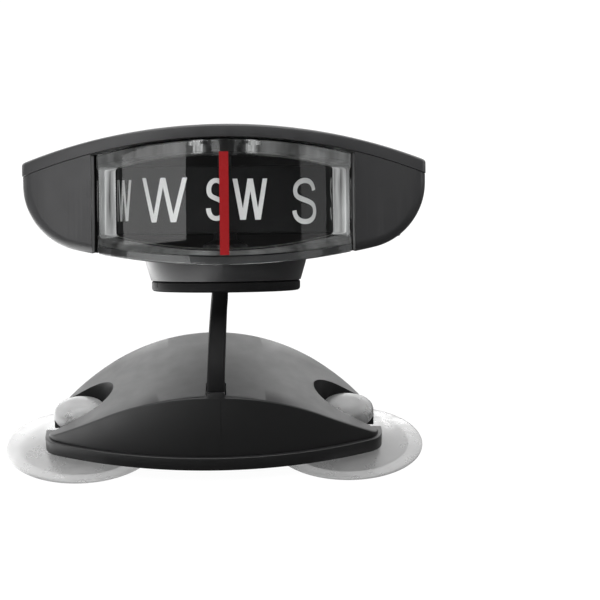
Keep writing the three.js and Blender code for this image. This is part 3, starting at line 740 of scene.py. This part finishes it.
def curved_front_solid(face, front, back, edge_round, edge_steps, half_width):
    """A solid with a front face parallel to the lens, a rounded edge round it and a flat back."""
    depth = lens_arc(front)
    rings = [(face(inset), level) for inset, level in round_steps(edge_round, edge_steps)[::-1]]
    rings.append((face(0.0), BACK_LEVEL))

    def bend(x, z, level):
        return x, z, back if level == BACK_LEVEL else depth(x) + level

    return slab(rings, FACE, [(0, across(half_width, 1.0))], bend)


def capsule_outside():
    """The clear moulding's outside: its floor is stepped up behind the lens lip."""

    def face(inset):
        return barrel(CAPSULE_HALF_WIDTH, HULL_BOTTOM, KEEL_RADIUS, 0.6, COVER_UNDERSIDE - FIT,
                      UNDERSIDE_RADIUS, 0.3, inset, steps=60, corner_steps=5)

    blank = curved_front_solid(face, -LENS_FRONT, CAPSULE_BACK, CAPSULE_ROUND, 4, CAPSULE_HALF_WIDTH)
    floor_radius = KEEL_RADIUS + HULL_BOTTOM - CAPSULE_FLOOR
    half = CAPSULE_HALF_WIDTH + 1
    floor = [(x, CAPSULE_FLOOR + floor_radius - math.sqrt(floor_radius ** 2 - x * x))
             for x in spread(half, 40)]
    below = [(-half, -5.0), (half, -5.0)] + floor[::-1]
    underside = slab([(below, -FAR), (below, FAR)], FACE)
    return cut(blank, common(underside, lens_prism(-LENS_FRONT + LENS_LIP, half, -10, 20)))


def chamber():
    """The liquid's space, open at the back."""

    def face(inset):
        return barrel(CHAMBER_HALF_WIDTH, CHAMBER_BOTTOM, CHAMBER_ARC, 1.0, CHAMBER_TOP, CHAMBER_ARC, 1.0,
                      inset, steps=60, corner_steps=6)

    return curved_front_solid(face, -LENS_FRONT + LENS_WALL, FAR, CHAMBER_ROUND, 5, CHAMBER_HALF_WIDTH)


def plug_hole():
    """The stepped hole for the fill plug."""
    bore, seat = PLUG_RADIUS + FIT, PLUG_FLANGE_RADIUS + FIT
    return lathe([(0, PLUG_HOLE_FLOOR), (bore, PLUG_HOLE_FLOOR), (bore, PLUG_SEAT), (seat, PLUG_SEAT),
                  (seat, FAR), (0, FAR)], 64, (0, CARD_Y))


def capsule():
    """The clear lens and chamber. Each face gets the look of its place: polished, wetted, or unpolished with
    painted light and glow on the side and back walls.
    """
    blank = cut(cut(capsule_outside(), chamber()), plug_hole())
    item = piece("capsule_moulding", blank, HEAD, "head", ["capsule_body"],
                 [LENS_CLEAR, WALL_PAINTED_LIGHT, LIQUID_FACE, BACK_PAINTED_LIGHT], 28)
    near = 0.03
    lens_front = lens_arc(-LENS_FRONT)
    chamber_front = lens_arc(-LENS_FRONT + LENS_WALL)
    for polygon in item.data.polygons:
        polygon.material_index = POLISHED
        x, y, z = polygon.center / MM
        if (abs(x) < CHAMBER_HALF_WIDTH + near and CHAMBER_BOTTOM - near < z < CHAMBER_TOP + near
                and chamber_front(x) - near < y < CAPSULE_BACK - near):
            polygon.material_index = WETTED
        # the side and back walls take the pale tint and glow that are painted light
        elif abs(x) > CAPSULE_HALF_WIDTH - near and y > lens_front(CAPSULE_HALF_WIDTH) + CAPSULE_ROUND + near:
            polygon.material_index = SIDE_WALL
        elif y > CAPSULE_BACK - near:
            polygon.material_index = BACK_WALL
    return item


def fill_plug():
    """The plug over the card, with the guard that keeps the card on its pin."""
    return piece("fill_plug_turned", lathe(PLUG_PROFILE, 64, (0, CARD_Y)), HEAD, "head", ["fill_plug"],
                 [HOUSING])


def lubber_line():
    """A thin strip that follows the middle of the lens front."""
    depth = lens_arc(-LENS_FRONT)
    xs = spread(LUBBER_WIDTH / 2, 8)
    inner = [(x, depth(x) - LUBBER_GAP) for x in xs]
    outer = [(x, depth(x) - LUBBER_GAP - LUBBER_THICKNESS) for x in xs]
    outline = outer + inner[::-1]
    mesh = slab([(outline, LUBBER_BOTTOM), (outline, LUBBER_TOP)])
    return piece("lubber_strip", mesh, HEAD, "head", ["lubber_line"], [RED])


# ---------------- card


def compass_card():
    """The black drum that carries the lettering."""
    return piece("compass_card_drum", lathe(CARD_PROFILE, 160), CARD, "card", ["compass_card"],
                 [CARD_BLACK])


def w_outline(width, height, stroke):
    """A W with flat feet and a flat middle peak, lower left corner at 0, 0."""
    foot = stroke * 1.2
    peak = stroke * 1.15
    left = width * 0.285
    middle = width / 2
    inner = height * (2 * stroke - foot) / (middle - peak / 2 - foot + stroke)
    inner_x = left - foot / 2 + stroke - (left - foot / 2) * inner / height
    span = middle - peak / 2 + stroke - left - foot / 2
    under = height * (middle - left - foot / 2) / span
    half = [(0, height), (left - foot / 2, 0), (left + foot / 2, 0), (middle, under)]
    upper = [(stroke, height), (inner_x, inner), (middle - peak / 2, height)]
    right = [(width - x, y) for x, y in half[:-1]][::-1]
    upper_right = [(width - x, y) for x, y in upper]
    return half + right + upper_right + upper[::-1]


def s_outline(width, height, stroke):
    """An S of even stroke with square ends."""
    curves = [
        ((0.95, 0.76), (0.92, 0.92), (0.74, 1.0), (0.5, 1.0)),
        ((0.5, 1.0), (0.24, 1.0), (0.04, 0.90), (0.04, 0.755)),
        ((0.04, 0.755), (0.04, 0.60), (0.22, 0.575), (0.52, 0.52)),
        ((0.52, 0.52), (0.82, 0.465), (1.0, 0.42), (1.0, 0.255)),
        ((1.0, 0.255), (1.0, 0.10), (0.78, 0.0), (0.51, 0.0)),
        ((0.51, 0.0), (0.22, 0.0), (0.02, 0.09), (0.0, 0.27)),
    ]
    line = [curves[0][0]]
    for curve in curves:
        line += bezier(*curve, 10)[1:]
    half = stroke / 2
    path = [Vector((half + x * (width - stroke), half + y * (height - stroke))) for x, y in line]
    left, right = [], []
    for i, point in enumerate(path):
        along = (path[min(i + 1, len(path) - 1)] - path[max(i - 1, 0)]).normalized()
        side = Vector((-along.y, along.x)) * half
        left.append(tuple(point + side))
        right.append(tuple(point - side))
    return left + right[::-1]


def n_outline(width, height, stroke):
    """An N with a slanting stroke from upper left to lower right."""
    slope = stroke * 1.25
    crotch = slope * 1.2
    return [(0, 0), (stroke, 0), (stroke, height - crotch), (width - slope, 0), (width, 0), (width, height),
            (width - stroke, height), (width - stroke, crotch), (slope, height), (0, height)]


def e_outline(width, height, stroke):
    """An E whose middle arm is a little above half height and a little short."""
    middle = height * 0.53
    half = stroke / 2
    return [(0, 0), (width, 0), (width, stroke), (stroke, stroke), (stroke, middle - half),
            (width * 0.93, middle - half), (width * 0.93, middle + half), (stroke, middle + half),
            (stroke, height - stroke), (width, height - stroke), (width, height), (0, height)]


# Letter: outline, width alone, width in a pair and overshoot, all as shares of the height
ALPHABET = {
    "N": (n_outline, 0.80, 0.52, 0.0),
    "E": (e_outline, 0.70, 0.46, 0.0),
    "S": (s_outline, 0.78, 0.50, 0.02),
    "W": (w_outline, 1.22, 0.86, 0.0),
}
LETTER_DROP = {"S": 0.45}           # this heading was printed a little low
HEADINGS = ["SW", "S", "SE", "E", "NE", "N", "NW", "W"]     # anticlockwise from above


def lettering():
    """Every heading, raised a hair on the drum and bent to it."""
    whole = bmesh.new()
    skin = CARD_RADIUS - LETTER_SUNK
    for turn, heading in enumerate(HEADINGS):
        height = CARDINAL_HEIGHT if len(heading) == 1 else BETWEEN_HEIGHT
        stroke = height * STROKE_SHARE
        widths = [ALPHABET[letter][len(heading)] * height for letter in heading]
        start = -(sum(widths) + BETWEEN_GAP * (len(widths) - 1)) / 2
        for letter, width in zip(heading, widths):
            draw, overshoot = ALPHABET[letter][0], ALPHABET[letter][3]
            over = overshoot * height
            outline = draw(width, height + 2 * over, stroke)
            slices = [i * LETTER_SLICE for i in range(1, int(width / LETTER_SLICE) + 1)]
            flat = slab([(outline, 0.0), (outline, LETTER_PROUD)], PLAN, [(0, slices)])
            low = LETTER_MIDDLE - LETTER_DROP.get(heading, 0) - height / 2 - over
            for vert in flat.vertices:
                u, v, proud = vert.co
                angle = turn * math.pi / 4 + CARD_TURN + (start + u) / CARD_RADIUS
                radius = skin + proud
                vert.co = (radius * math.sin(angle), -radius * math.cos(angle), low + v)
            whole.from_mesh(flat)
            bpy.data.meshes.remove(flat)
            start += width + BETWEEN_GAP
    bmesh.ops.recalc_face_normals(whole, faces=whole.faces)
    mesh = bpy.data.meshes.new("lettering")
    whole.to_mesh(mesh)
    whole.free()
    return piece("card_lettering", mesh, CARD, "card", [], [LETTERS])


# ---------------- stand


def base_plan(inset):
    """The base's outline from above."""
    return barrel(PLATE_HALF_LENGTH, -PLATE_FRONT, PLATE_FRONT_RADIUS, PLATE_FRONT_CORNER,
                  PLATE_BACK, PLATE_BACK_RADIUS, PLATE_BACK_CORNER, inset, steps=60, corner_steps=10)


def end_slot(side, centre_x, half_width, low, high):
    """A U-shaped tool, open at its outer end."""
    ring = arc(side * centre_x, 0, half_width, math.pi / 2, 3 * math.pi / 2, 40)
    if side < 0:
        ring = [(2 * side * centre_x - x, y) for x, y in ring]
    outline = ring + [(side * FAR, -half_width), (side * FAR, half_width)]
    return slab([(outline, low), (outline, high)])


def base_plate():
    """The flat plate, with an open slot for each cup's neck and two screw seats from below."""
    edge = round_steps(PLATE_EDGE_ROUND, 3)
    rings = [(base_plan(inset), PLATE_BOTTOM + depth) for inset, depth in edge[::-1]]
    rings += [(base_plan(inset), PLATE_TOP - depth) for inset, depth in edge]
    slot_half = CUP_NECK_RADIUS + CUP_SLOT_GAP
    slots = [end_slot(side, CUP_SLOT_X, slot_half, -1, FAR) for side in (-1, 1)]
    head, hole, above = BASE_SCREW_HEAD_RADIUS, BASE_SCREW_RADIUS, 20
    seat_profile = [(0, 0), (head, 0), (head, BASE_SCREW_HEAD_TOP), (hole, BASE_SCREW_HEAD_TOP),
                    (hole, above), (0, above)]
    seats = [lathe(seat_profile, 40, (side * BASE_SCREW_X, 0)) for side in (-1, 1)]
    mesh = cut(cut(slab(rings), *slots), *seats)
    return piece("base_plate_moulding", mesh, STAND, "stand", ["base_plate"], [STAND_BLACK])


def arch_height(x):
    """Top of the base at x: a crown arc that runs into straight flanks."""
    flank = ARCH_RADIUS * math.sin(ARCH_HALF_ANGLE)
    if abs(x) <= flank:
        return on_arc(x, ARCH_TOP, ARCH_RADIUS)
    return on_arc(flank, ARCH_TOP, ARCH_RADIUS) - (abs(x) - flank) * math.tan(ARCH_HALF_ANGLE)


def base_arch():
    """The arched block of the cover, on the plate's outline."""
    low = PLATE_TOP + SEAM
    top_level = 100.0           # depths below the top are kept, and level 0 goes to the plate
    rings = [(base_plan(RIM_STEP), 0.0)]
    rings += [(base_plan(RIM_STEP + inset), top_level - depth)
              for inset, depth in round_steps(COVER_RIM_ROUND)]

    def bend(x, y, level):
        if level == 0.0:
            return x, y, low
        rise = max(arch_height(x) - low, 0.3)
        depth = min(top_level - level, rise * 0.8)
        return x, y, low + rise - depth

    slices = [(0, across(PLATE_HALF_LENGTH - 2 * RIM_STEP, 1.0)), (1, across(PLATE_BACK, 5.0))]
    return slab(rings, PLAN, slices, bend)


def base_cover():
    """The arched cover, with the arm's pocket and lip, a faint parting rib and the cups' notches."""
    front = -PLATE_FRONT + RIM_STEP
    pocket_front = ARM_FRONT - POCKET_GAP
    half = ARM_WIDTH / 2
    lip = box_mesh((ARM_X - half, front + 0.05, ARCH_TOP - 2),
                   (ARM_X + half, pocket_front, ARCH_TOP + LIP_HEIGHT))
    rib_x = ARM_X + PARTING_OFFSET
    rib = box_mesh((rib_x - PARTING_HALF, front - PARTING_PROUD, PLATE_TOP + SEAM),
                   (rib_x + PARTING_HALF, front + 0.5, ARCH_TOP))
    pocket = box_mesh((ARM_X - half - POCKET_GAP, pocket_front, POCKET_FLOOR),
                      (ARM_X + half + POCKET_GAP, ARM_BACK + POCKET_GAP, FAR))
    notches = [end_slot(side, NOTCH_CENTRE_X, NOTCH_HALF_WIDTH, 0, FAR) for side in (-1, 1)]
    mesh = join(base_arch(), soften(lip, 0.25), rib)
    mesh = cut(mesh, pocket, *notches)
    return piece("base_cover_moulding", mesh, STAND, "stand", ["base_cover"], [STAND_BLACK])


def on_head(y, z):
    """A point of the head's Y-Z plane, in the stand's frame, in millimetres."""
    place = STAND.inverted() @ HEAD @ Vector((0, y * MM, z * MM))
    return place.y / MM, place.z / MM


def arm_blade():
    """The curved blade from the pocket up to the disc. It leans and narrows as it rises."""
    head_x, _, head_z = (STAND.inverted() @ HEAD).translation / MM
    back = bezier((ARM_BACK, ARM_ROOT), (ARM_BACK, ARM_ROOT + 6),
                  on_head(1.8, -7.5), on_head(3.4, 0.8), 24)
    front = bezier(on_head(-4.6, 0.8), on_head(-2.4, -6.5),
                   (ARM_FRONT, ARM_ROOT + 9), (ARM_FRONT, ARM_ROOT), 24)
    outline = [(ARM_FRONT, ARM_BOTTOM), (ARM_BACK, ARM_BOTTOM)] + back + front
    half = ARM_WIDTH / 2
    edge = round_steps(ARM_EDGE_ROUND)
    rings = [(offset(outline, inset), -half + depth) for inset, depth in edge[::-1]]
    rings += [(offset(outline, inset), half - depth) for inset, depth in edge]
    blade = slab(rings)
    for vert in blade.vertices:
        y, z, x = vert.co
        rise = min(max((z - ARM_ROOT) / (head_z - ARM_ROOT), 0), 1)
        vert.co = (ARM_X + ARM_LEAN * rise ** 2 + x * (1 - ARM_TAPER * rise), y, z)
    return blade


def swivel_disc():
    """The disc that the head turns on, with its hub and a small notch in its rim."""
    rim, top = DISC_RADIUS, DISC_THICKNESS
    disc = lathe([(0, 0), (rim - 0.7, 0), (rim - 0.35, 0.08), (rim - 0.1, 0.3), (rim, 0.7), (rim, top - 0.2),
                  (rim - 0.2, top), (DISC_HUB_RADIUS, top), (DISC_HUB_RADIUS, DISC_HUB_TOP),
                  (DISC_SCREW_RADIUS, DISC_HUB_TOP), (DISC_SCREW_RADIUS, DISC_SKIN), (0, DISC_SKIN)], 160)
    mark = box_mesh((-DISC_MARK_HALF, -rim - 1, DISC_MARK_BOTTOM),
                    (DISC_MARK_HALF, -rim + DISC_MARK_DEPTH, top + 1))
    mark.transform(Matrix.Rotation(DISC_MARK_ANGLE, 4, "Z"))
    disc = cut(disc, mark)
    place = STAND.inverted() @ HEAD
    place.translation /= MM
    disc.transform(place)
    return disc


def support_arm():
    """Blade and disc, one moulding."""
    mesh = join(arm_blade(), swivel_disc())
    return piece("support_arm_moulding", mesh, STAND, "stand", ["support_arm"], [ARM_BLACK])


def suction_cup(name, side):
    """A clear cup: cloudy disc and neck below, and a button above with its own swirls and painted highlights."""
    place = STAND @ Matrix.Translation((side * CUP_X * MM, 0, 0))
    item = piece(f"{name}_cup_moulding", lathe(CUP_PROFILE, 128), place, f"{name}_cup",
                 [f"{name}_suction_cup"], VINYL[name], 60)
    for polygon in item.data.polygons:
        polygon.material_index = int(polygon.center.z > CUP_NECK_TOP * MM)


# ---------------- build

top_cover()
lower_hull()
capsule()
fill_plug()
lubber_line()
compass_card()
lettering()
base_plate()
base_cover()
support_arm()
for cup_name, cup_side in (("left", -1), ("right", 1)):
    suction_cup(cup_name, cup_side)

CAD_LOOKS = [
    (HOUSING, ["capsule_back_plate", "diaphragm_ring", "pivot_post"]),
    (SILICONE, ["capsule_gasket"]),
    (RUBBER_BLACK, ["expansion_diaphragm"]),
    (FOAM, ["card_float"]),
    (MAGNET, ["card_magnet_left", "card_magnet_right"]),
    (JEWEL, ["jewel_bearing"]),
    (NYLON, ["nylon_washer"]),
    (STEEL, ["pivot_pin", "spring_washer", "swivel_screw", "arm_screw"]),
    (STEEL, [f"base_screw_{side}" for side in ("left", "right")]),
    (STEEL, [f"cover_screw_{end}_{side}" for end in ("front", "back") for side in ("left", "right")]),
]
for look, node_names in CAD_LOOKS:
    for node_name in node_names:
        node = frame["nodes"][node_name]
        node.data.materials.clear()
        node.data.materials.append(look)

# ---------------- stage, light and camera

FLOOR_SEEN = 0.97           # the paper's brightness to the camera
FLOOR_LEFT_GLOW = 3.6       # what it gives the object, left of it and in front of it
FLOOR_FRONT_GLOW = 0.04
FLOOR_EDGE = (-0.047, -0.037)       # x over which the glow falls from left to front
FLOOR_FADE = (-0.14, -0.07)         # x over which it comes up from far left
ROOM_FRONT, ROOM_BACK = 0.10, 2.3   # brightness of the room behind the camera and behind the object
ROOM_MIDDLE = Vector((HEAD.translation.x, HEAD.translation.y, 0.05))
LIGHT_DISTANCE = 0.8
HEAD_TURN = HEAD.to_3x3()
# Name, azimuth and elevation in degrees, width and height in metres, radiance, frame of the angles.
# Azimuth is 0 on the camera's side and grows to its right.
LIGHTS = [
    ("left_softbox", -40, 5, 0.535, 0.36, 2.2, HEAD_TURN),
    ("right_softbox", 50, 5, 0.21, 0.36, 0.85, HEAD_TURN),
    ("front_softbox", 0, 62, 0.9, 0.45, 4.6, Matrix.Identity(3)),
    ("top_softbox", 180, 70, 0.9, 0.6, 3.0, Matrix.Identity(3)),
    ("back_softbox", 181, 6, 0.5, 0.16, 4.0, Matrix.Identity(3)),
]
CAMERA_PLACE = (0.00770, -0.433820, 0.229558)
CAMERA_DOWN = math.radians(24.7)
CAMERA_TURN = math.radians(-1.5)
CAMERA_LENS = 130.9


def ramp(nodes, links, source, start, end, low, high):
    """A smooth step of a number, from low at start to high at end."""
    ranged = nodes.new("ShaderNodeMapRange")
    ranged.interpolation_type = "SMOOTHSTEP"
    for name, value in (("From Min", start), ("From Max", end), ("To Min", low), ("To Max", high)):
        ranged.inputs[name].default_value = value
    links.new(source, ranged.inputs["Value"])
    return ranged.outputs["Result"]


def calculated(nodes, links, operation, first, second):
    """A number worked out from two others."""
    node = nodes.new("ShaderNodeMath")
    node.operation = operation
    links.new(first, node.inputs[0])
    links.new(second, node.inputs[1])
    return node.outputs["Value"]


def chosen(nodes, links, factor, first, second):
    """A number: first where factor is 0, second where it is 1."""
    mix = nodes.new("ShaderNodeMix")
    mix.data_type = "FLOAT"
    for socket, value in (("A", first), ("B", second)):
        if isinstance(value, float):
            mix.inputs[socket].default_value = value
        else:
            links.new(value, mix.inputs[socket])
    links.new(factor, mix.inputs["Factor"])
    return mix.outputs["Result"]


def floor():
    """Pale paper. It looks white, lights the left of the object and leaves its front dark."""
    half = 3.0
    corners = [(-half, -half, 0), (half, -half, 0), (half, half, 0), (-half, half, 0)]
    mesh = bpy.data.meshes.new("floor")
    mesh.from_pydata(corners, [], [(0, 1, 2, 3)])
    recipe = Recipe("floor_white")
    recipe.set(Base_Color=(0.05, 0.05, 0.05, 1), Roughness=0.9, Specular_IOR_Level=0.0,
               Emission_Color=(1, 1, 1, 1))
    nodes, links = recipe.nodes, recipe.links
    place = nodes.new("ShaderNodeTexCoord")
    split = nodes.new("ShaderNodeSeparateXYZ")
    links.new(place.outputs["Object"], split.inputs["Vector"])
    across_edge = ramp(nodes, links, split.outputs["X"], *FLOOR_EDGE, FLOOR_LEFT_GLOW, FLOOR_FRONT_GLOW)
    far_left = ramp(nodes, links, split.outputs["X"], *FLOOR_FADE, 0.15, 1.0)
    glow = calculated(nodes, links, "MULTIPLY", across_edge, far_left)
    path = nodes.new("ShaderNodeLightPath")
    seen = calculated(nodes, links, "MAXIMUM",
                      path.outputs["Is Camera Ray"], path.outputs["Is Transmission Ray"])
    brightness = chosen(nodes, links, seen, glow, FLOOR_SEEN)
    links.new(brightness, recipe.shader.inputs["Emission Strength"])
    mesh.materials.append(recipe.material)
    item = bpy.data.objects.new("floor", mesh)
    bpy.context.scene.collection.objects.link(item)


def softbox(name, azimuth, elevation, width, height, radiance, turn):
    """A soft light that faces the object and stands upright in the frame that its angles are measured in."""
    light = bpy.data.lights.new(name, "AREA")
    light.shape = "RECTANGLE"
    light.size = width
    light.size_y = height
    light.energy = radiance * math.pi * width * height
    item = bpy.data.objects.new(name, light)
    a, e = math.radians(azimuth), math.radians(elevation)
    away = turn @ Vector((math.sin(a) * math.cos(e), -math.cos(a) * math.cos(e), math.sin(e)))
    up = turn @ Vector((0, 0, 1))
    side = up.cross(away).normalized()
    facing = Matrix((side, away.cross(side), away)).transposed().to_4x4()
    item.matrix_world = Matrix.Translation(ROOM_MIDDLE + away * LIGHT_DISTANCE) @ facing
    item.visible_camera = False
    bpy.context.scene.collection.objects.link(item)


def studio():
    """A room that is bright behind and above the object and dark behind the camera."""
    world = bpy.data.worlds.new("studio")
    bpy.context.scene.world = world
    world.use_nodes = True
    nodes, links = world.node_tree.nodes, world.node_tree.links
    background = nodes["Background"]
    place = nodes.new("ShaderNodeTexCoord")
    split = nodes.new("ShaderNodeSeparateXYZ")
    links.new(place.outputs["Generated"], split.inputs["Vector"])
    room = ramp(nodes, links, split.outputs["Y"], -0.35, 0.30, ROOM_FRONT, ROOM_BACK)
    path = nodes.new("ShaderNodeLightPath")
    links.new(chosen(nodes, links, path.outputs["Is Camera Ray"], room, 1.0), background.inputs["Strength"])
    background.inputs["Color"].default_value = (1, 1, 1, 1)


def camera():
    """The camera, at a small object's distance."""
    data = bpy.data.cameras.new("camera")
    data.lens = CAMERA_LENS
    data.sensor_width = 36
    data.clip_start = 0.01
    item = bpy.data.objects.new("camera", data)
    item.location = CAMERA_PLACE
    item.rotation_euler = (math.pi / 2 - CAMERA_DOWN, 0, CAMERA_TURN)
    bpy.context.scene.collection.objects.link(item)
    return item


floor()
studio()
for light_settings in LIGHTS:
    softbox(*light_settings)
scene = bpy.context.scene
scene.camera = camera()
scene.view_settings.view_transform = "Standard"
scene.cycles.glossy_bounces = 12
scene.cycles.transmission_bounces = 16
scene.cycles.max_bounces = 24
